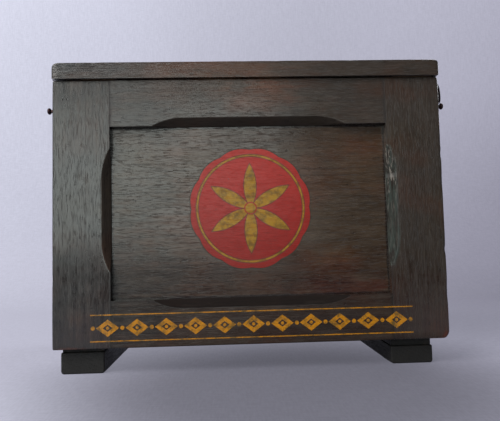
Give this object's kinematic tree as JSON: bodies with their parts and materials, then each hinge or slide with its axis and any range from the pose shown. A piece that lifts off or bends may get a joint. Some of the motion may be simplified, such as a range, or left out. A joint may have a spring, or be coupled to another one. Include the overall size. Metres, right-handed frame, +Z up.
{
  "type": "first aid case",
  "caption": "Dark oak first aid case with a framed, stop-chamfered front, a painted panel, a hinged flat lid, side hooks on studs and runner feet.",
  "frame": {"origin": "on the floor, under the middle of the whole outline", "axes": "+X towards the case's right as seen from the front, -Y out of the framed front, +Z up"},
  "size_m": [0.3446, 0.1836, 0.26],
  "materials": {
    "frame_oak": "dark stained oak, waxed",
    "panel_oak": "dark stained oak, waxed",
    "inner_oak": "unfinished oak, aged",
    "runner_wood": "dark stained wood, dull",
    "pin_steel": "dulled steel",
    "hinge_brass": "tarnished brass",
    "catch_brass": "dark patinated brass"
  },
  "bodies": {
    "carcass": {"front_left_stile": "frame_oak", "front_right_stile": "frame_oak", "front_top_rail": "frame_oak", "front_bottom_rail": "frame_oak", "front_panel": "panel_oak", "left_side_board": "frame_oak", "right_side_board": "frame_oak", "back_board": "frame_oak", "bottom_board": "inner_oak", "left_runner": "runner_wood", "right_runner": "runner_wood", "left_packing_strip": "runner_wood", "right_packing_strip": "runner_wood", "left_hinge_carcass_leaf": "hinge_brass", "right_hinge_carcass_leaf": "hinge_brass", "left_hinge_pin": "pin_steel", "right_hinge_pin": "pin_steel", "hinge_carcass_screws": "hinge_brass", "left_catch_stud": "catch_brass", "right_catch_stud": "catch_brass"},
    "lid": {"lid_board": "frame_oak", "left_lid_batten": "inner_oak", "right_lid_batten": "inner_oak", "left_hinge_lid_leaf": "hinge_brass", "right_hinge_lid_leaf": "hinge_brass", "hinge_lid_screws": "hinge_brass", "left_hook_screw": "catch_brass", "right_hook_screw": "catch_brass"},
    "left_hook": {"left_hook": "catch_brass"},
    "right_hook": {"right_hook": "catch_brass"}
  },
  "joints": [
    {"name": "lid_hinge", "type": "hinge", "parent": "carcass", "child": "lid", "pos_m": [0, 0.08775, 0.24575], "axis": [-1, 0, 0], "range_deg": [0, 100]},
    {"name": "left_hook_swing", "type": "hinge", "parent": "lid", "child": "left_hook", "pos_m": [-0.1665, -0.07425, 0.253], "axis": [1, 0, 0], "range_deg": [-97, 0]},
    {"name": "right_hook_swing", "type": "hinge", "parent": "lid", "child": "right_hook", "pos_m": [0.1665, -0.07425, 0.253], "axis": [1, 0, 0], "range_deg": [-7, 90]}
  ]
}
